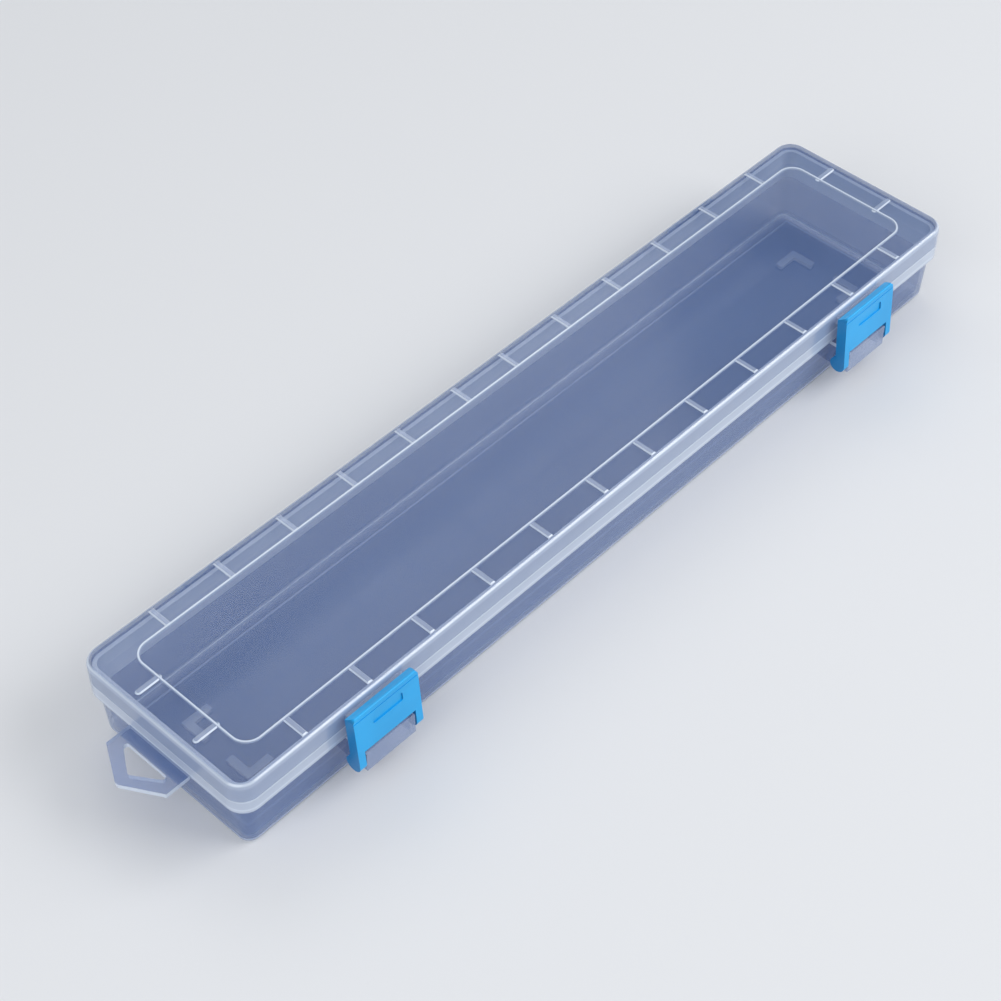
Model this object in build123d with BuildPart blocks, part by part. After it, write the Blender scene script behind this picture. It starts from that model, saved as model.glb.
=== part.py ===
from build123d import *
from math import hypot
import os

# Long flat brush box of clear polypropylene: a tray, a lid on snap hinges along the rear edge and
# two swing latches on the front. Sizes are millimetres. X runs along the box, +Y points to the
# hinge side and +Z up. The feet stand on Z = 0, and the origin is the middle of the whole outline.

# Outline shared by the lid and the tray's rim
box_length = 365.0
box_width = 77.2
corner_radius = 7.3

# Tray
foot_height = 1.0
tray_height = 26.65         # underside to the ledge that the lid closes on
wall = 1.5
floor = 1.5
draft_inset = 1.45          # how far each wall leans in from the ledge down to the floor
floor_corner_radius = 4.3   # plan radius of the tray's corners at the floor
floor_edge_radius = 1.8     # rounding between walls and floor, outside
rim_height = 6.35           # band that runs round the tray below the ledge
rim_edge_radius = 0.8
foot_inset_x = 20.4         # box end to the outer corner of an L-shaped foot
foot_inset_y = 22.2
foot_leg = 11.0
foot_width = 2.9

# Lid
lid_height = 8.1
lid_wall = 1.5
lid_edge_radius = 1.9
seam = 0.15                 # lid skirt above the ledge
lip_clearance = 0.3         # tray lip inside the lid skirt
lip_gap = 0.9               # tray lip below the lid's underside
bead_inset_x = 13.1         # box end to the middle of the raised rectangle on the lid
bead_inset_y = 11.2
bead_width = 1.1
bead_height = 0.6
bead_radius = 6.2
bead_lean = 25.0            # degrees that its sides lean from upright
rib_width = 2.3
rib_height = 0.45
rib_lean = 45.0
ribs_per_half = 6           # ribs on each half of a long side
rib_centre_gap = 24.6       # between the two ribs nearest the middle
rib_end_margin = 16.35      # last rib to the end of the bead
end_rib_spacing = 27.4
end_rib_length = 9.4        # from the middle of the bead

# Hang tab on the left end
tab_width = 29.0
tab_side = 9.9              # straight part of its sides, beyond the rim
tab_point = 18.25           # rim to the point where its slanting edges meet
tab_thickness = 1.8
tab_radius = 2.6
tab_hole_inset = 5.3        # rim to the hole's long side
tab_hole_width = 24.6       # between the points where its edges meet
tab_hole_depth = 8.0
tab_hole_radius = 1.1

# Snap hinges
hinge_reach = 2.6           # rear face of the box to the hinge axis
hinge_pin_radius = 1.1
hinge_lug_radius = 2.0
hinge_lug_thickness = 2.4
hinge_hook_radius = 2.1
hinge_hook_width = 8.0
hinge_hook_slot = 1.7       # mouth that snaps over the pin
hinge_clearance = 0.1       # pin inside its hook
hinge_side_gap = 0.3        # hook beside a lug
hinge_web_height = 4.0

# Swing latches and the brackets that carry them
latch_inset = 56.7          # box end to the latch's middle
pivot_drop = 14.25          # ledge to the pivot axis
pivot_reach = 4.4           # front face of the box to the pivot axis
pivot_pin_radius = 1.3
pivot_clearance = 0.1
pivot_slot = 2.2            # mouth that snaps over the pin
pivot_cap = 0.8             # outer side of a leg, which covers the end of the pin
pivot_end_gap = 0.15        # pin to that cover
bracket_width = 21.8
bracket_front = 2.8         # pivot axis to the bracket's front face
bracket_top = 5.1           # pivot axis to the bracket's top
bracket_bottom = 4.4        # pivot axis to the bracket's lower edge
bracket_wall = 1.4
bracket_chamfer = 0.8
barrel_radius = 3.2
leg_width = 2.9
leg_gap = 0.45
window_clearance = 0.4      # latch window above the bracket's swing corner
plate = 1.8                 # front plate of the latch
flange = 1.6                # side flanges of the latch
flange_depth = 4.1
latch_rise = 1.3            # point of the latch's top edge, before rounding, above the lid
latch_corner_radius = 2.5
latch_edge_radius = 0.6
hook_depth = 2.55           # lid top to the hook's underside
hook_tip = 1.05             # height of the hook's rear face
hook_clearance = 0.25       # hook above the catch
catch_reach = 3.4           # lid face to the catch's nose
catch_nose = 1.3
catch_root = 3.4
catch_gap = 0.6             # catch's nose to the latch plate
catch_side_gap = 0.4
recess_width = 13.2
recess_height = 3.8
recess_depth = 0.5
recess_offset = 0.3         # latch's middle to the middle of the finger recess
recess_radius = 0.8
recess_drop = 6.6           # latch top to the middle of the recess
groove_width = 0.4
groove_depth = 0.25
groove_drop = 2.5           # latch top to the shadow line

# Heights
ledge_z = foot_height + tray_height
lid_z = ledge_z + seam
lid_top_z = lid_z + lid_height
lip_top_z = lid_top_z - lid_wall - lip_gap
rim_z = ledge_z - rim_height
pivot_z = ledge_z - pivot_drop
hook_z = lid_top_z - hook_depth
catch_z = hook_z - hook_clearance
latch_top_z = lid_top_z + latch_rise

# Plan sizes
lip_inset = lid_wall + lip_clearance
lip_length = box_length - 2 * lip_inset
lip_width = box_width - 2 * lip_inset
lip_radius = corner_radius - lip_inset
base_length = lip_length - 2 * draft_inset
base_width = lip_width - 2 * draft_inset
bead_length = box_length - 2 * bead_inset_x
bead_span = box_width - 2 * bead_inset_y
pivot_y = -box_width / 2 - pivot_reach
bracket_y = pivot_y - bracket_front
hinge_y = box_width / 2 + hinge_reach
latch_x = box_length / 2 - latch_inset
latch_width = bracket_width + 2 * (leg_gap + leg_width)

# The box is shifted so that the origin is the middle of the outline, with tab, latches and hinges
tab_slant = hypot(tab_width / 2, tab_point - tab_side)
tab_tip = tab_point - tab_radius * (tab_slant / (tab_width / 2) - 1)
box_x = tab_tip / 2
box_y = (pivot_reach + barrel_radius - hinge_reach - hinge_hook_radius) / 2
box_plane = Plane((box_x, box_y, 0))


def side_plane(x):
    """Plane across the box at x from its middle: local x is world Y and local y is world Z."""
    return Plane(origin=(box_x + x, box_y, 0), x_dir=(0, 1, 0), z_dir=(1, 0, 0))


def front_plane(x, y):
    """Upright plane that faces the front: local x is world X from x and local y is world Z."""
    return Plane(origin=(box_x + x, box_y + y, 0), x_dir=(1, 0, 0), z_dir=(0, -1, 0))


def mirrored(*offsets):
    """The offsets and their mirror images about the middle of the box."""
    return [sign * offset for offset in offsets for sign in (-1, 1)]


# ---- Tray -------------------------------------------------------------------------------------

# The space inside: drafted walls up to the ledge, then straight up through the lip
with BuildPart() as cavity:
    with BuildSketch(box_plane.offset(foot_height + floor)):
        RectangleRounded(
            base_length - 2 * wall, base_width - 2 * wall, max(floor_corner_radius - wall, 0.5)
        )
    with BuildSketch(box_plane.offset(ledge_z)):
        RectangleRounded(lip_length - 2 * wall, lip_width - 2 * wall, max(lip_radius - wall, 0.5))
    loft()
    extrude(cavity.faces().sort_by(Axis.Z)[-1], amount=lip_top_z - ledge_z + 1)
    fillet(cavity.faces().sort_by(Axis.Z)[0].edges(), radius=max(floor_edge_radius - wall, 0.3))

with BuildPart() as tray:
    # Drafted body and the straight lip above the ledge
    with BuildSketch(box_plane.offset(foot_height)):
        RectangleRounded(base_length, base_width, floor_corner_radius)
    with BuildSketch(box_plane.offset(ledge_z)):
        RectangleRounded(lip_length, lip_width, lip_radius)
    loft()
    fillet(tray.faces().sort_by(Axis.Z)[0].edges(), radius=floor_edge_radius)
    extrude(tray.faces().sort_by(Axis.Z)[-1], amount=lip_top_z - ledge_z)

    # Rim band, rounded along its lower edge
    with BuildSketch(box_plane.offset(rim_z)):
        RectangleRounded(box_length, box_width, corner_radius)
    extrude(amount=rim_height)
    rim_faces = tray.faces().filter_by(Plane.XY).group_by(Axis.Z)
    rim_underside = [group for group in rim_faces if abs(group[0].center().Z - rim_z) < 0.01][0]
    fillet(rim_underside.face().outer_wire().edges(), radius=rim_edge_radius)

    # Hang tab, level with the rim's lower edge
    with BuildSketch(box_plane.offset(rim_z)) as tab_sketch:
        rim_end = -box_length / 2
        with BuildLine():
            Polyline(
                (rim_end + lid_wall, -tab_width / 2),
                (rim_end - tab_side, -tab_width / 2),
                (rim_end - tab_point, 0),
                (rim_end - tab_side, tab_width / 2),
                (rim_end + lid_wall, tab_width / 2),
                close=True,
            )
        make_face()
        fillet(tab_sketch.vertices().group_by(Axis.X)[0], radius=tab_radius)
        fillet(tab_sketch.vertices().group_by(Axis.X)[2], radius=tab_radius)
    extrude(amount=tab_thickness)
    with BuildSketch(box_plane.offset(rim_z)) as tab_hole:
        hole_x = -box_length / 2 - tab_hole_inset
        with BuildLine():
            Polyline(
                (hole_x, -tab_hole_width / 2),
                (hole_x, tab_hole_width / 2),
                (hole_x - tab_hole_depth, 0),
                close=True,
            )
        make_face()
        fillet(tab_hole.vertices(), radius=tab_hole_radius)
    extrude(amount=tab_thickness, mode=Mode.SUBTRACT)

    # Brackets for the latches: open underneath, with a pin out of each side
    for x in mirrored(latch_x):
        with BuildSketch(front_plane(x, bracket_y)) as bracket_outline:
            with Locations((0, pivot_z - bracket_bottom)):
                Rectangle(bracket_width, bracket_bottom + bracket_top, align=(Align.CENTER, Align.MIN))
            chamfer(bracket_outline.vertices().group_by(Axis.Y)[-1], length=bracket_chamfer)
        extrude(amount=bracket_y + lip_width / 2 - wall)
        with BuildSketch(front_plane(x, bracket_y + bracket_wall)):
            with Locations((0, pivot_z - bracket_bottom)):
                Rectangle(
                    bracket_width - 2 * bracket_wall,
                    bracket_bottom + bracket_top - bracket_wall,
                    align=(Align.CENTER, Align.MIN),
                )
        extrude(amount=bracket_y + bracket_wall + lip_width / 2, mode=Mode.SUBTRACT)
        for side in (-1, 1):
            with BuildSketch(side_plane(x + side * (bracket_width - bracket_wall) / 2)):
                with Locations((pivot_y, pivot_z)):
                    Circle(pivot_pin_radius)
            extrude(amount=side * (bracket_wall / 2 + leg_gap + leg_width - pivot_cap - pivot_end_gap))

    # Hinge lugs with the pin moulded between them
    lug_pitch = hinge_hook_width + hinge_lug_thickness + 2 * hinge_side_gap
    for x in mirrored(latch_x):
        for lug in (-1, 0, 1):
            with BuildSketch(side_plane(x + lug * lug_pitch)):
                with Locations((hinge_y, ledge_z)):
                    Circle(hinge_lug_radius)
                with BuildLine():
                    Polyline(
                        (lip_width / 2, ledge_z - hinge_web_height),
                        (box_width / 2, ledge_z - hinge_web_height),
                        (hinge_y + hinge_lug_radius / 2, ledge_z - hinge_lug_radius * 0.87),
                        (hinge_y, ledge_z),
                        (lip_width / 2, ledge_z),
                        close=True,
                    )
                make_face()
            extrude(amount=hinge_lug_thickness / 2, both=True)
        with BuildSketch(side_plane(x)):
            with Locations((hinge_y, ledge_z)):
                Circle(hinge_pin_radius)
        extrude(amount=lug_pitch, both=True)

    # L-shaped feet, with their outer corners towards the corners of the floor
    for sign_x in (-1, 1):
        for sign_y in (-1, 1):
            corner_x = sign_x * (box_length / 2 - foot_inset_x)
            corner_y = sign_y * (box_width / 2 - foot_inset_y)
            with BuildSketch(box_plane):
                with Locations((corner_x - sign_x * foot_leg / 2, corner_y - sign_y * foot_width / 2)):
                    Rectangle(foot_leg, foot_width)
                with Locations((corner_x - sign_x * foot_width / 2, corner_y - sign_y * foot_leg / 2)):
                    Rectangle(foot_width, foot_leg)
            extrude(amount=foot_height + floor / 2)

    add(cavity.part, mode=Mode.SUBTRACT)
tray.part.label = "tray"

# ---- Lid --------------------------------------------------------------------------------------

with BuildPart() as lid:
    with BuildSketch(box_plane.offset(lid_z)):
        RectangleRounded(box_length, box_width, corner_radius)
    extrude(amount=lid_height)
    fillet(lid.faces().sort_by(Axis.Z)[-1].edges(), radius=lid_edge_radius)

    # Catches under the hooks of the latches
    skirt_y = -box_width / 2
    for x in mirrored(latch_x):
        with BuildSketch(side_plane(x)):
            with BuildLine():
                Polyline(
                    (skirt_y + lid_wall / 2, catch_z),
                    (skirt_y - catch_reach, catch_z),
                    (skirt_y - catch_reach, catch_z - catch_nose),
                    (skirt_y, catch_z - catch_root),
                    (skirt_y + lid_wall / 2, catch_z - catch_root),
                    close=True,
                )
            make_face()
        extrude(amount=latch_width / 2 - flange - catch_side_gap, both=True)

    # Hinge hooks, open towards the rear and down
    for x in mirrored(latch_x):
        for side in (-1, 1):
            with BuildSketch(side_plane(x + side * lug_pitch / 2)):
                with Locations((hinge_y, ledge_z)):
                    Circle(hinge_hook_radius)
                with BuildLine():
                    Polyline(
                        (box_width / 2 - lid_wall / 2, lid_z),
                        (hinge_y, lid_z),
                        (hinge_y, ledge_z + hinge_hook_radius),
                        (box_width / 2, ledge_z + 2 * hinge_hook_radius),
                        (box_width / 2 - lid_wall / 2, ledge_z + 2 * hinge_hook_radius),
                        close=True,
                    )
                make_face()
                with Locations((hinge_y, ledge_z)):
                    Circle(hinge_pin_radius + hinge_clearance, mode=Mode.SUBTRACT)
                    Rectangle(
                        2 * hinge_hook_radius,
                        hinge_hook_slot,
                        rotation=-45,
                        align=(Align.MIN, Align.CENTER),
                        mode=Mode.SUBTRACT,
                    )
            extrude(amount=hinge_hook_width / 2, both=True)

    # Hollow inside, open at the bottom
    with BuildSketch(box_plane.offset(lid_z)):
        RectangleRounded(box_length - 2 * lid_wall, box_width - 2 * lid_wall, corner_radius - lid_wall)
    extrude(amount=lid_height - lid_wall, mode=Mode.SUBTRACT)

    # Raised rectangle on top, with ribs from it to the edges
    with BuildSketch(box_plane.offset(lid_top_z)):
        RectangleRounded(bead_length + bead_width, bead_span + bead_width, bead_radius + bead_width / 2)
        RectangleRounded(
            bead_length - bead_width,
            bead_span - bead_width,
            bead_radius - bead_width / 2,
            mode=Mode.SUBTRACT,
        )
    extrude(amount=bead_height, taper=bead_lean)
    rib_pitch = (bead_length / 2 - rib_end_margin - rib_centre_gap / 2) / (ribs_per_half - 1)
    rib_length = box_width / 2 - lid_edge_radius - bead_span / 2
    with BuildSketch(box_plane.offset(lid_top_z)):
        for y in mirrored(bead_span / 2 + rib_length / 2):
            rib_places = mirrored(*[rib_centre_gap / 2 + n * rib_pitch for n in range(ribs_per_half)])
            with Locations([(x, y) for x in rib_places]):
                Rectangle(rib_width, rib_length)
        for x in mirrored(bead_length / 2 + (end_rib_length - rib_width / 2) / 2):
            with Locations([(x, y) for y in mirrored(end_rib_spacing / 2)]):
                SlotOverall(end_rib_length + rib_width / 2, rib_width)
    extrude(amount=rib_height, taper=rib_lean)
lid.part.label = "lid"

# ---- Latches ----------------------------------------------------------------------------------

# The front face leans back from the barrels to the top, which clears the catch's nose
foot_y = pivot_y - barrel_radius
head_y = -box_width / 2 - catch_reach - catch_gap - plate
lean = (head_y - foot_y) / (latch_top_z - pivot_z)
hook_top_z = hook_z + hook_tip
window_z = pivot_z + hypot(bracket_front, bracket_top) + window_clearance
barrel_top_z = pivot_z + barrel_radius


def face_y(z, depth=0):
    """Where the latch is at height z, at a depth behind its front face."""
    return foot_y + lean * (z - pivot_z) + depth


def face_plane(x, drop):
    """Plane on the latch's front face, at x and at a drop below its top."""
    z = latch_top_z - drop
    origin = (box_x + x, box_y + face_y(z), z)
    return Plane(origin=origin, x_dir=(1, 0, 0), z_dir=(0, -1, lean))


def make_latch(x):
    """Latch with its middle at x: a plate with side flanges, a hook along the top and two legs."""
    with BuildPart() as latch:
        # Side outline, from the barrels up to the hook
        with BuildSketch(side_plane(x)) as profile:
            with Locations((pivot_y, pivot_z)):
                Circle(barrel_radius)
            with BuildLine():
                Polyline(
                    (foot_y, pivot_z),
                    (head_y, latch_top_z),
                    (face_y(hook_top_z, flange_depth), hook_top_z),
                    (face_y(barrel_top_z, flange_depth), barrel_top_z),
                    (pivot_y + barrel_radius, pivot_z),
                    close=True,
                )
            make_face()
            fillet(profile.vertices().sort_by(Axis.Y)[-1], radius=latch_edge_radius)
        extrude(amount=latch_width / 2, both=True)

        # Rounded upper corners, as seen from the front
        with BuildSketch(front_plane(x, foot_y)) as elevation:
            with Locations((0, pivot_z - barrel_radius)):
                Rectangle(latch_width, latch_top_z - pivot_z + barrel_radius, align=(Align.CENTER, Align.MIN))
            fillet(elevation.vertices().group_by(Axis.Y)[-1], radius=latch_corner_radius)
        extrude(amount=-4 * barrel_radius, mode=Mode.INTERSECT)

        # Hollow behind the plate, up to the hook
        with BuildSketch(side_plane(x)):
            with BuildLine():
                Polyline(
                    (face_y(window_z, plate), window_z),
                    (face_y(hook_z, plate), hook_z),
                    (face_y(hook_z, 2 * flange_depth), hook_z),
                    (face_y(window_z, 2 * flange_depth), window_z),
                    close=True,
                )
            make_face()
        extrude(amount=latch_width / 2 - flange, both=True, mode=Mode.SUBTRACT)

        # Window between the legs for the bracket
        with BuildSketch(box_plane.offset(pivot_z - barrel_radius)):
            with Locations((x, pivot_y)):
                Rectangle(latch_width - 2 * leg_width, 4 * barrel_radius)
        extrude(amount=window_z - pivot_z + barrel_radius, mode=Mode.SUBTRACT)

        # Bores for the bracket's pins, open to the rear and closed on the outer sides
        with BuildSketch(side_plane(x)):
            with Locations((pivot_y, pivot_z)):
                Circle(pivot_pin_radius + pivot_clearance)
                Rectangle(2 * barrel_radius, pivot_slot, align=(Align.MIN, Align.CENTER))
        extrude(amount=latch_width / 2 - pivot_cap, both=True, mode=Mode.SUBTRACT)

        # Finger recess and the line below the top
        with BuildSketch(face_plane(x + recess_offset, recess_drop)):
            RectangleRounded(recess_width, recess_height, recess_radius)
        extrude(amount=-recess_depth, mode=Mode.SUBTRACT)
        with BuildSketch(face_plane(x, groove_drop)):
            Rectangle(latch_width, groove_width)
        extrude(amount=-groove_depth, mode=Mode.SUBTRACT)
    return latch


latch_left = make_latch(-latch_x)
latch_left.part.label = "latch_left"
latch_right = make_latch(latch_x)
latch_right.part.label = "latch_right"

os.makedirs("parts", exist_ok=True)
export_step(tray.part, "parts/tray.step")
export_step(lid.part, "parts/lid.step")
export_step(latch_left.part, "parts/latch_left.step")
export_step(latch_right.part, "parts/latch_right.step")
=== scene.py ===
"""Looks of the long clear brush box: its shells, its blue latches, the studio and the camera."""

import logging
import math
from collections.abc import Callable
from dataclasses import dataclass, field
from enum import Enum, IntEnum

import bpy
import numpy as np
from mathutils import Matrix, Vector

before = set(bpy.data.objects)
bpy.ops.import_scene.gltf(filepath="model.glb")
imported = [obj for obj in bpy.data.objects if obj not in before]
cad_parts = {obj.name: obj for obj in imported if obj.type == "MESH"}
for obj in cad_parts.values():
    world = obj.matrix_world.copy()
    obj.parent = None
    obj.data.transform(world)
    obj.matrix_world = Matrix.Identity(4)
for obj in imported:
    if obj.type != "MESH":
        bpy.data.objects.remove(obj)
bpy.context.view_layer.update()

LOG = logging.getLogger("brush_box")
MM = 0.001
Colour = tuple[float, float, float]
Point = tuple[float, float, float]
Value = float | bpy.types.NodeSocket


class Shell(Enum):
    """The four moulded pieces of the box, by the name of their node, which is also their body."""

    TRAY = "tray"
    LID = "lid"
    LATCH_LEFT = "latch_left"
    LATCH_RIGHT = "latch_right"


class Axis(IntEnum):
    """The axes of the shared frame, by their place in a vector."""

    ALONG = 0
    ACROSS = 1
    UP = 2


class Nodes:
    """Short calls for building one material's node tree."""

    def __init__(self, name: str) -> None:
        """Start an empty node tree.

        Args:
            name: The material's name.
        """
        self.material = bpy.data.materials.new(name)
        self.material.use_nodes = True
        self.tree = self.material.node_tree
        self.tree.nodes.clear()

    def add(self, kind: str, **settings: object) -> bpy.types.Node:
        """Add a node.

        Args:
            kind: The node's type, as Blender names it.
            settings: Properties to set on it.

        Returns:
            The new node.
        """
        node = self.tree.nodes.new(kind)
        for key, value in settings.items():
            setattr(node, key, value)
        return node

    def feed(self, value: Value, target: bpy.types.NodeSocket) -> None:
        """Set an input to a number, or join it to another node's output.

        Args:
            value: The number or the output.
            target: The input.
        """
        if isinstance(value, bpy.types.NodeSocket):
            self.tree.links.new(value, target)
        else:
            target.default_value = value

    def math(self, operation: str, first: Value, second: Value = 0.0) -> bpy.types.NodeSocket:
        """Work out one sum.

        Args:
            operation: The Math node's operation.
            first: Its first number.
            second: Its second number, where it has one.

        Returns:
            The socket with the result.
        """
        node = self.add("ShaderNodeMath", operation=operation)
        self.feed(first, node.inputs[0])
        self.feed(second, node.inputs[1])
        return node.outputs[0]

    def largest(self, *values: bpy.types.NodeSocket) -> bpy.types.NodeSocket:
        """Find the largest of several values.

        Args:
            values: The values, one or more.

        Returns:
            The socket with the largest.
        """
        result = values[0]
        for value in values[1:]:
            result = self.math("MAXIMUM", result, value)
        return result

    def ramp(
        self, value: Value, start: float, end: float, low: float = 0.0, high: float = 1.0
    ) -> bpy.types.NodeSocket:
        """Pass smoothly from low to high as a value passes from start to end.

        Args:
            value: The value to read.
            start: Where the change starts.
            end: Where it ends, which may be below start.
            low: The result at start and before it.
            high: The result at end and past it.

        Returns:
            The socket with the result.
        """
        node = self.add("ShaderNodeMapRange", interpolation_type="SMOOTHSTEP")
        limits = (("From Min", start), ("From Max", end), ("To Min", low), ("To Max", high))
        for name, number in limits:
            node.inputs[name].default_value = number
        self.feed(value, node.inputs["Value"])
        return node.outputs["Result"]

    def band(self, value: Value, low: float, high: float, soft: float, share: float) -> bpy.types.NodeSocket:
        """Give a number between two limits and 0 outside them.

        Args:
            value: The value to read.
            low: The lower limit.
            high: The upper limit.
            soft: How far the change reaches past each limit.
            share: The number between the limits.

        Returns:
            The socket with the result.
        """
        rise = self.ramp(value, low - soft, low, 0, share)
        fall = self.ramp(value, high, high + soft, 1, 0)
        return self.math("MULTIPLY", rise, fall)

    def place(self) -> tuple[bpy.types.NodeSocket, ...]:
        """Give the point on the object.

        Returns:
            Three sockets, in the order of Axis, in millimetres.
        """
        source = self.add("ShaderNodeTexCoord")
        split = self.add("ShaderNodeSeparateXYZ")
        self.feed(source.outputs["Object"], split.inputs[0])
        return tuple(self.math("MULTIPLY", axis, 1 / MM) for axis in split.outputs)

    def facing(self, axis: Axis) -> bpy.types.NodeSocket:
        """Square the normal's share along an axis: 1 on a face across it, 0 on a face beside it.

        Args:
            axis: The axis of the object.

        Returns:
            The socket with the square.
        """
        source = self.add("ShaderNodeTexCoord")
        split = self.add("ShaderNodeSeparateXYZ")
        self.feed(source.outputs["Normal"], split.inputs[0])
        return self.math("MULTIPLY", split.outputs[axis], split.outputs[axis])

    def upward(self) -> bpy.types.NodeSocket:
        """The square of the normal's height: 1 on a level face, 0 on an upright one."""
        return self.facing(Axis.UP)

    def rounding(self) -> bpy.types.NodeSocket:
        """Say how far a face is from level and from upright: 4 u (1 - u), with u from upward.

        Returns:
            The socket with the result: 1 at 45 degrees, 0 on a level or an upright face.
        """
        upward = self.upward()
        rest = self.math("SUBTRACT", 1.0, upward)
        return self.math("MULTIPLY", self.math("MULTIPLY", upward, rest), 4.0)

    def edge_reach(
        self, middle: tuple[float, float], half: tuple[float, float], radius: float
    ) -> bpy.types.NodeSocket:
        """How far a point lies past a rectangle with round corners in plan, in millimetres.

        Args:
            middle: The rectangle's middle.
            half: Half its length and half its width.
            radius: The radius of its corners.

        Returns:
            The socket with the distance, which is negative inside and never below minus the radius.
        """
        squares = []
        for axis, centre, reach in zip(self.place(), middle, half):
            offset = self.math("ABSOLUTE", self.math("SUBTRACT", axis, centre))
            past = self.math("MAXIMUM", self.math("SUBTRACT", offset, reach - radius), 0.0)
            squares.append(self.math("MULTIPLY", past, past))
        return self.math("SUBTRACT", self.math("SQRT", self.math("ADD", *squares)), radius)

    def noise(self, scale: float, detail: float, stretch: Point = (1, 1, 1)) -> bpy.types.NodeSocket:
        """Noise that is fixed to the object.

        Args:
            scale: Patches per metre.
            detail: Octaves of finer noise.
            stretch: Factors on the object's coordinates.

        Returns:
            The socket with the noise's value, about 0.3 to 0.7.
        """
        source = self.add("ShaderNodeTexCoord")
        mapping = self.add("ShaderNodeMapping")
        mapping.inputs["Scale"].default_value = stretch
        self.feed(source.outputs["Object"], mapping.inputs["Vector"])
        texture = self.add("ShaderNodeTexNoise")
        texture.inputs["Scale"].default_value = scale
        texture.inputs["Detail"].default_value = detail
        self.feed(mapping.outputs["Vector"], texture.inputs["Vector"])
        return texture.outputs["Fac"]

    def pick(self, value: Value, first: Value, second: Value) -> bpy.types.NodeSocket:
        """Mix two numbers.

        Args:
            value: From 0, for the first, to 1, for the second.
            first: The first number.
            second: The second number.

        Returns:
            The socket with the mix.
        """
        node = self.add("ShaderNodeMix")
        for name, number in (("Factor", value), ("A", first), ("B", second)):
            self.feed(number, node.inputs[name])
        return node.outputs["Result"]

    def blend(self, value: Value, first: Colour, second: Colour) -> bpy.types.NodeSocket:
        """Mix two colours.

        Args:
            value: From 0, for the first, to 1, for the second.
            first: The first colour.
            second: The second colour.

        Returns:
            The socket with the mix.
        """
        node = self.add("ShaderNodeMix", data_type="RGBA")
        node.inputs["A"].default_value = (*first, 1)
        node.inputs["B"].default_value = (*second, 1)
        self.feed(value, node.inputs["Factor"])
        return node.outputs["Result"]

    def finish(self, shader: bpy.types.Node) -> bpy.types.Material:
        """Send a shader to the surface.

        Args:
            shader: The shader's node.

        Returns:
            The finished material.
        """
        out = self.add("ShaderNodeOutputMaterial")
        self.feed(shader.outputs["BSDF"], out.inputs["Surface"])
        return self.material


@dataclass(frozen=True)
class ClearPlastic:
    """Natural polypropylene: thin walls are see-through and grey-blue, thicker ones cloudy and pale; the
    same pale colour paints glow and highlights.

    The covers say how much each face hides of what is behind it. Scales are patches per metre, the ripple's
    depth is in millimetres, spread is the part of the noise that is stretched from 0 to 1, and flow_share is
    how much of the cloudiness comes from that noise.
    """

    name: str
    level_cover: float
    upright_cover: float = 0.5
    thick_and_glow_cover: float = 0.82
    thin: Colour = (0.055, 0.155, 0.44)
    thick_and_glow: Colour = (0.78, 0.87, 1.0)
    roughness: tuple[float, float] = (0.15, 0.19)
    ior: float = 1.49
    gloss: float = 1.0
    coat: float = 0.8
    coat_roughness: float = 0.08
    ripple: float = 0.12
    ripple_depth: float = 0.1
    flow_scale: float = 14
    flow_stretch: Point = (0.4, 1, 1)
    flow_share: float = 0.08
    scuff_scale: float = 45
    spread: tuple[float, float] = (0.3, 0.7)

    def material(self, thickness_and_glow: Callable[[Nodes], bpy.types.NodeSocket]) -> bpy.types.Material:
        """Build the plastic of one shell.

        Args:
            thickness_and_glow: Gives the socket that says how pale and cloudy the plastic looks, from 0 to
                1, partly where it is thicker and partly as painted glow and highlights.

        Returns:
            The material.
        """
        nodes = Nodes(self.name)
        skin = nodes.add("ShaderNodeBsdfPrincipled")
        skin.inputs["IOR"].default_value = self.ior
        skin.inputs["Specular IOR Level"].default_value = self.gloss
        skin.inputs["Coat Weight"].default_value = self.coat
        skin.inputs["Coat Roughness"].default_value = self.coat_roughness
        # The share is partly thicker plastic and partly painted glow and highlights.
        thick_and_glow = thickness_and_glow(nodes)
        flow = nodes.ramp(nodes.noise(self.flow_scale, detail=3, stretch=self.flow_stretch), *self.spread)
        scuffs = nodes.ramp(nodes.noise(self.scuff_scale, detail=2), *self.spread, *self.roughness)
        body = nodes.math("MULTIPLY", thick_and_glow, 1 - self.flow_share)
        cloud_and_glow = nodes.math("ADD", body, nodes.math("MULTIPLY", flow, self.flow_share))
        # Grey-blue where thin, pale where thicker and where glow and highlights are painted; the alpha below
        # follows the same share.
        nodes.feed(nodes.blend(cloud_and_glow, self.thin, self.thick_and_glow), skin.inputs["Base Color"])
        thin_cover = nodes.pick(nodes.upward(), self.upright_cover, self.level_cover)
        nodes.feed(nodes.pick(cloud_and_glow, thin_cover, self.thick_and_glow_cover), skin.inputs["Alpha"])
        nodes.feed(scuffs, skin.inputs["Roughness"])
        bump = nodes.add("ShaderNodeBump")
        bump.inputs["Strength"].default_value = self.ripple
        bump.inputs["Distance"].default_value = self.ripple_depth * MM
        nodes.feed(flow, bump.inputs["Height"])
        nodes.feed(bump.outputs["Normal"], skin.inputs["Normal"])
        return nodes.finish(skin)


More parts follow.
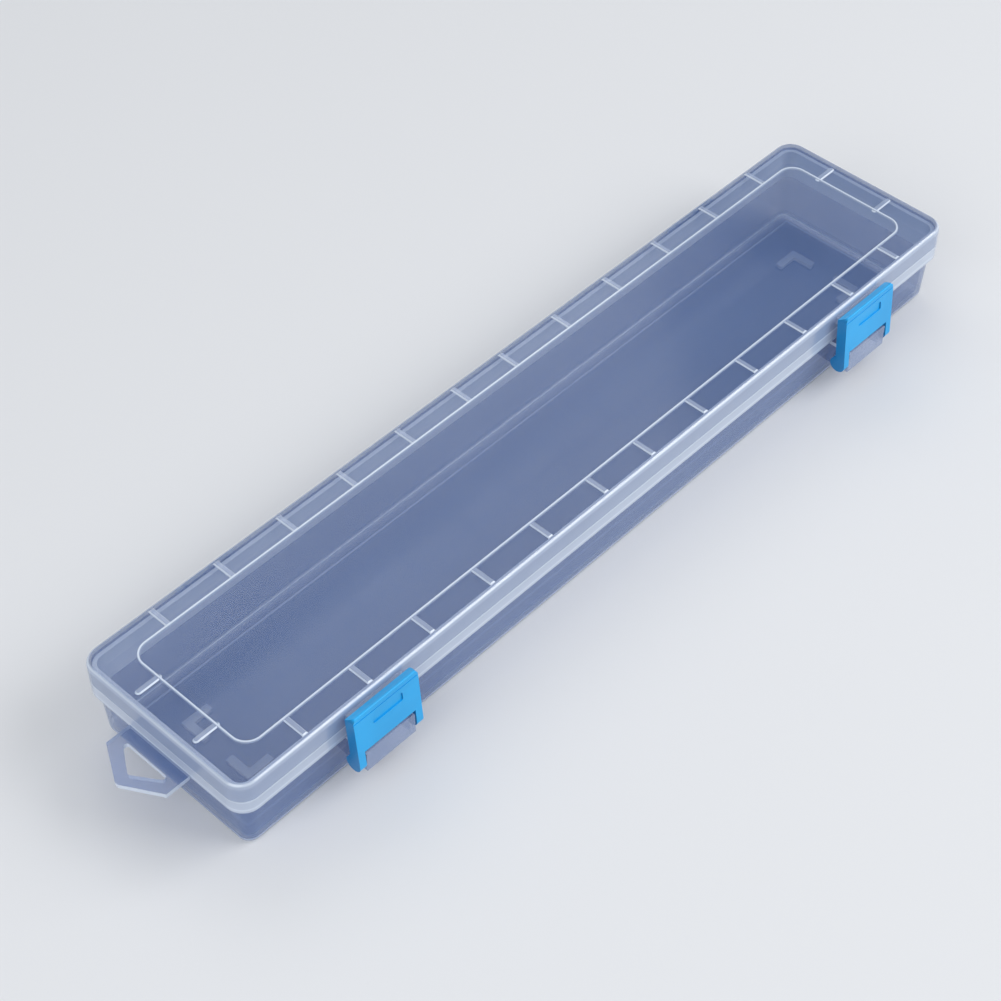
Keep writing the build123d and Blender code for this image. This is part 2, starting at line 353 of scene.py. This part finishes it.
@dataclass(frozen=True)
class BluePlastic:
    """Blue polypropylene of the latches, in slightly uneven patches, with painted shade on its ends.

    The lightness goes from 0 for deep to 1 for light: patches gives it for the darkest and the lightest
    patch, and shaded_end_share is what an end keeps of it, as painted shade. A face becomes a shaded end as
    the square of its normal's share along the box passes through shaded_end_turn. The two spreads are the
    parts of the noise that are stretched from 0 to 1, scales are patches per metre, and the ripple's depth
    is in millimetres.
    """

    name: str = "blue_polypropylene"
    light: Colour = (0.008, 0.43, 0.90)
    shaded_and_deep: Colour = (0.004, 0.13, 0.36)
    patches: tuple[float, float] = (0.87, 1.0)
    shaded_end_turn: tuple[float, float] = (0.4, 0.9)
    shaded_end_share: float = 0.3
    roughness: tuple[float, float] = (0.28, 0.34)
    ior: float = 1.49
    ripple: float = 0.1
    ripple_depth: float = 0.02
    flow_scale: float = 60
    flow_spread: tuple[float, float] = (0.3, 0.7)
    scuff_scale: float = 2600
    scuff_spread: tuple[float, float] = (0.35, 0.65)

    def material(self) -> bpy.types.Material:
        """Build the plastic.

        Returns:
            The material.
        """
        nodes = Nodes(self.name)
        skin = nodes.add("ShaderNodeBsdfPrincipled")
        skin.inputs["IOR"].default_value = self.ior
        flow = nodes.ramp(nodes.noise(self.flow_scale, detail=3), *self.flow_spread, *self.patches)
        scuffs = nodes.ramp(nodes.noise(self.scuff_scale, detail=2), *self.scuff_spread, *self.roughness)
        # Painted shade: faces across the box's length, the latch's ends, are painted darker.
        ends = nodes.ramp(nodes.facing(Axis.ALONG), *self.shaded_end_turn, 1, self.shaded_end_share)
        tone_and_shade = nodes.math("MULTIPLY", flow, ends)
        nodes.feed(nodes.blend(tone_and_shade, self.shaded_and_deep, self.light), skin.inputs["Base Color"])
        nodes.feed(scuffs, skin.inputs["Roughness"])
        bump = nodes.add("ShaderNodeBump")
        bump.inputs["Strength"].default_value = self.ripple
        bump.inputs["Distance"].default_value = self.ripple_depth * MM
        nodes.feed(scuffs, bump.inputs["Height"])
        nodes.feed(bump.outputs["Normal"], skin.inputs["Normal"])
        return nodes.finish(skin)


@dataclass
class Tray:
    """The clear tray, which keeps the solid's own mesh. All places are in millimetres.

    A share says how pale and cloudy the plastic looks there, from 0 to 1: partly where it is thicker, partly
    as painted glow and painted highlights. Pairs of heights bound the floor, the crease and the rim, and
    rim_highlight_lines are the heights of two painted highlight lines on the rim; the crease bears painted
    highlight lines too. Distances from the middle, along and across, give the feet, the crease and the
    outline. The outer skin of the rim fades in over the distances in outer, measured past that outline. The
    tab lies left of tab_start, and the latch blocks in front of block_front.
    """

    middle: tuple[float, float] = (8.925, 1.45)
    floor: tuple[float, float] = (2.3, 2.6)
    foot_corner: tuple[float, float] = (162.1, 16.4)
    foot_leg: float = 11.0
    foot_width: float = 2.9
    foot_share: float = 0.5
    crease: tuple[float, float] = (2.6, 3.3)
    crease_inset: tuple[float, float] = (174.5, 29.6)
    crease_highlight_width: float = 0.7
    crease_highlight_share: float = 0.5
    half: tuple[float, float] = (182.5, 38.6)
    corner: float = 7.3
    outer: tuple[float, float] = (-0.9, -0.5)
    rim: tuple[float, float] = (21.3, 27.7)
    rim_share: float = 0.85
    rim_highlight_lines: tuple[float, float] = (23.3, 27.5)
    line_half: float = 0.4
    lip_top: float = 33.3
    lip_share: float = 0.95
    tab_start: float = -173.7
    block_front: float = -39.6
    block_share: float = 0.25
    wall_share: float = 0.06
    soft: float = 0.2
    finish: ClearPlastic = ClearPlastic("clear_tray", level_cover=0.38)

    def floor_marks(self, nodes: Nodes, apart: tuple[bpy.types.NodeSocket, ...]) -> bpy.types.NodeSocket:
        """The L shapes over the feet, where the plastic is thicker, and a painted highlight line along the
        crease by the walls, as pale lines on the floor.

        Args:
            nodes: The material under way.
            apart: Distances from the middle of the box, along and across it.

        Returns:
            The socket with the share of pale plastic and painted light, from 0 to 1.
        """
        legs = []
        for long, short in ((Axis.ALONG, Axis.ACROSS), (Axis.ACROSS, Axis.ALONG)):
            ends = (self.foot_corner[long] - self.foot_leg, self.foot_corner[long])
            sides = (self.foot_corner[short] - self.foot_width, self.foot_corner[short])
            strip = nodes.band(apart[long], *ends, self.soft, self.foot_share)
            legs.append(nodes.math("MULTIPLY", strip, nodes.band(apart[short], *sides, self.soft, 1)))
        # Painted highlight line on the floor along the inner crease.
        past = [nodes.math("SUBTRACT", reach, inset) for reach, inset in zip(apart, self.crease_inset)]
        half = self.crease_highlight_width / 2
        crease = nodes.band(nodes.largest(*past), -half, half, self.soft, self.crease_highlight_share)
        return nodes.largest(*legs, crease)

    def thickness_and_glow(self, nodes: Nodes) -> bpy.types.NodeSocket:
        """Pale at the rim, the lip, the marks in the floor, the latch blocks, rounded edges and the tab's
        upright faces: partly thicker plastic, partly painted glow, with painted highlights on the rim's
        lines, the lip's top, the crease and the rounded edges.

        Args:
            nodes: The material under way.

        Returns:
            The socket with the share of pale plastic and painted light, from 0 to 1.
        """
        along, across, height = nodes.place()
        # Rim and lip bands: paler partly for thicker plastic and partly as painted glow, brighter than the
        # light that reaches them.
        rim = nodes.band(height, *self.rim, self.soft, self.rim_share)
        lip = nodes.band(height, self.rim[1], self.lip_top, self.soft, self.lip_share)
        # Painted highlight along the lip's top edge.
        lip_edge_highlight = nodes.ramp(height, self.lip_top, self.lip_top + self.soft)
        outside = nodes.ramp(nodes.edge_reach(self.middle, self.half, self.corner), *self.outer)
        half = self.line_half
        # Two painted highlight lines on the outer skin of the rim.
        lines = nodes.largest(
            *(nodes.band(height, line - half, line + half, self.soft, 1) for line in self.rim_highlight_lines)
        )
        apart = tuple(
            nodes.math("ABSOLUTE", nodes.math("SUBTRACT", axis, middle))
            for axis, middle in zip((along, across), self.middle)
        )
        on_floor = nodes.band(height, *self.floor, self.soft / 2, 1)
        marks = nodes.math("MULTIPLY", on_floor, self.floor_marks(nodes, apart))
        # Painted highlight line on the walls just above the floor, at the crease.
        crease = nodes.band(height, *self.crease, self.soft / 2, self.crease_highlight_share)
        blocks = nodes.ramp(across, self.block_front, self.block_front - self.soft, 0, self.block_share)
        edges = nodes.largest(lip_edge_highlight, nodes.math("MULTIPLY", lines, outside))
        # Rounded faces, between level and upright, get a painted highlight.
        raised = nodes.largest(nodes.rounding(), rim, lip, edges, marks, crease, blocks)
        shell = nodes.math("MAXIMUM", raised, self.wall_share)
        # On the tab only the upright faces are pale: a painted glowing outline.
        outline = nodes.ramp(nodes.upward(), 1, 0)
        on_tab = nodes.ramp(along, self.tab_start, self.tab_start - self.soft)
        return nodes.pick(on_tab, shell, outline)

    def dress(self) -> list[bpy.types.Object]:
        """Give the tray its plastic.

        Returns:
            The tray alone, in a list.
        """
        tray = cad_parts[Shell.TRAY.value]
        tray.material_slots[0].material = self.finish.material(self.thickness_and_glow)
        return [tray]


@dataclass
class Lid:
    """The clear lid, which keeps the solid's own mesh. Its fields mean what the tray's do."""

    middle: tuple[float, float] = (8.925, 1.45)
    half: tuple[float, float] = (182.5, 38.6)
    corner: float = 7.3
    outer: tuple[float, float] = (-1.2, -0.6)
    skirt_top: float = 33.0
    skirt_share: float = 0.55
    shoulder_share: float = 0.8
    panel_top: float = 35.9
    rib_share: float = 0.35
    bead_top: float = 36.4
    bead_highlight_share: float = 1.0
    soft: float = 0.1
    finish: ClearPlastic = ClearPlastic("clear_lid", level_cover=0.16)

    def thickness_and_glow(self, nodes: Nodes) -> bpy.types.NodeSocket:
        """Pale at the skirt, the raised lines and every rounded edge: partly thicker plastic, partly painted
        glow, with painted highlights on the bead and the rounded edges.

        Args:
            nodes: The material under way.

        Returns:
            The socket with the share of pale plastic and painted light, from 0 to 1.
        """
        height = nodes.place()[Axis.UP]
        outside = nodes.ramp(nodes.edge_reach(self.middle, self.half, self.corner), *self.outer)
        # The skirt is paler, partly for the doubled plastic over the tray's lip and partly as painted glow.
        rise = nodes.ramp(height, self.skirt_top, self.panel_top, self.skirt_share, self.shoulder_share)
        skirt = nodes.math("MULTIPLY", rise, outside)
        # The ribs are paler, partly thicker plastic and partly painted highlight.
        ribs = nodes.ramp(height, self.panel_top, self.panel_top + self.soft, 0, self.rib_share)
        # The bead is painted fully pale, as a painted highlight line.
        bead = nodes.ramp(height, self.bead_top - self.soft, self.bead_top, 0, self.bead_highlight_share)
        # Rounded faces get a painted highlight.
        return nodes.largest(nodes.rounding(), skirt, ribs, bead)

    def dress(self) -> list[bpy.types.Object]:
        """Give the lid its plastic.

        Returns:
            The lid alone, in a list.
        """
        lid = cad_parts[Shell.LID.value]
        lid.material_slots[0].material = self.finish.material(self.thickness_and_glow)
        return [lid]


@dataclass
class Latches:
    """The two blue swing latches, which keep the solids' own meshes."""

    finish: BluePlastic = BluePlastic()

    def dress(self) -> list[bpy.types.Object]:
        """Give both latches their plastic.

        Returns:
            The two latches.
        """
        material = self.finish.material()
        latches = [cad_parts[shell.value] for shell in (Shell.LATCH_LEFT, Shell.LATCH_RIGHT)]
        for latch in latches:
            latch.material_slots[0].material = material
        return latches


@dataclass(frozen=True)
class Lamp:
    """A soft panel lamp that faces the box: its middle and sides in metres, its power in watts."""

    name: str
    place: Point
    width: float
    depth: float
    power: float

    def hang(self) -> bpy.types.Object:
        """Hang the lamp.

        Returns:
            The lamp.
        """
        data = bpy.data.lights.new(self.name, "AREA")
        data.shape = "RECTANGLE"
        data.size = self.width
        data.size_y = self.depth
        data.energy = self.power
        lamp = bpy.data.objects.new(self.name, data)
        lamp.location = self.place
        lamp.rotation_euler = (-lamp.location).to_track_quat("-Z", "Y").to_euler()
        bpy.context.scene.collection.objects.link(lamp)
        return lamp


@dataclass
class Studio:
    """Pale floor, soft lights and the camera."""

    floor_size: float = 6.0
    floor_colour: Colour = (0.78, 0.79, 0.81)
    floor_roughness: float = 0.7
    floor_gloss: float = 0.2
    sky: Colour = (0.93, 0.96, 1.0)
    sky_strength: float = 0.47
    lamps: tuple[Lamp, ...] = (
        Lamp("key", (0.75, -0.85, 1.0), 1.2, 0.9, 11.5),
        Lamp("fill", (-1.0, -0.25, 0.8), 1.0, 0.8, 5),
        Lamp("back", (0.4, 0.9, 1.1), 1.2, 0.8, 3),
    )
    eye: Vector = field(default_factory=lambda: Vector((-403.616, -365.339, 592.230)) * MM)
    yaw: float = -46.484
    pitch: float = 47.277
    roll: float = -0.231
    lens: float = 80.226
    sensor: float = 36.0
    near: float = 0.01

    def lay_floor(self) -> bpy.types.Object:
        """Make the plain floor at the height of the feet.

        Returns:
            The floor.
        """
        half = self.floor_size / 2
        corners = np.array([(-half, -half, 0), (half, -half, 0), (half, half, 0), (-half, half, 0)])
        mesh = bpy.data.meshes.new("floor")
        mesh.from_pydata(corners.tolist(), [], [(0, 1, 2, 3)])
        floor = bpy.data.objects.new("floor", mesh)
        bpy.context.scene.collection.objects.link(floor)
        nodes = Nodes("floor_paint")
        paint = nodes.add("ShaderNodeBsdfPrincipled")
        paint.inputs["Base Color"].default_value = (*self.floor_colour, 1)
        paint.inputs["Roughness"].default_value = self.floor_roughness
        paint.inputs["Specular IOR Level"].default_value = self.floor_gloss
        mesh.materials.append(nodes.finish(paint))
        return floor

    def light_room(self) -> None:
        """Set a pale, even sky."""
        world = bpy.data.worlds.new("studio")
        world.use_nodes = True
        background = world.node_tree.nodes["Background"]
        background.inputs["Color"].default_value = (*self.sky, 1)
        background.inputs["Strength"].default_value = self.sky_strength
        bpy.context.scene.world = world

    def place_camera(self) -> bpy.types.Object:
        """Put the camera where the photograph was taken from.

        Returns:
            The camera.
        """
        yaw, pitch, roll = (math.radians(angle) for angle in (self.yaw, self.pitch, self.roll))
        back = Vector((math.sin(yaw) * math.cos(pitch), -math.cos(yaw) * math.cos(pitch), math.sin(pitch)))
        level = Vector((math.cos(yaw), math.sin(yaw), 0))
        upright = back.cross(level)
        right = level * math.cos(roll) + upright * math.sin(roll)
        up = upright * math.cos(roll) - level * math.sin(roll)
        data = bpy.data.cameras.new("camera")
        data.lens = self.lens
        data.sensor_width = self.sensor
        data.clip_start = self.near
        camera = bpy.data.objects.new("camera", data)
        camera.matrix_world = Matrix.Translation(self.eye) @ Matrix((right, up, back)).transposed().to_4x4()
        bpy.context.scene.collection.objects.link(camera)
        bpy.context.scene.camera = camera
        return camera

    def build(self) -> None:
        """Set up the floor, the sky, the lamps and the camera, and colours without a film look."""
        self.lay_floor()
        self.light_room()
        for lamp in self.lamps:
            lamp.hang()
        self.place_camera()
        bpy.context.scene.view_settings.view_transform = "Standard"


def main() -> None:
    """Dress the box, then set up the studio."""
    logging.basicConfig(level=logging.INFO, format="%(name)s: %(message)s")
    for part in (Tray(), Lid(), Latches()):
        for piece in part.dress():
            LOG.info("%s: %s", type(part).__name__, piece.name)
    Studio().build()


if __name__ == "__main__":
    main()
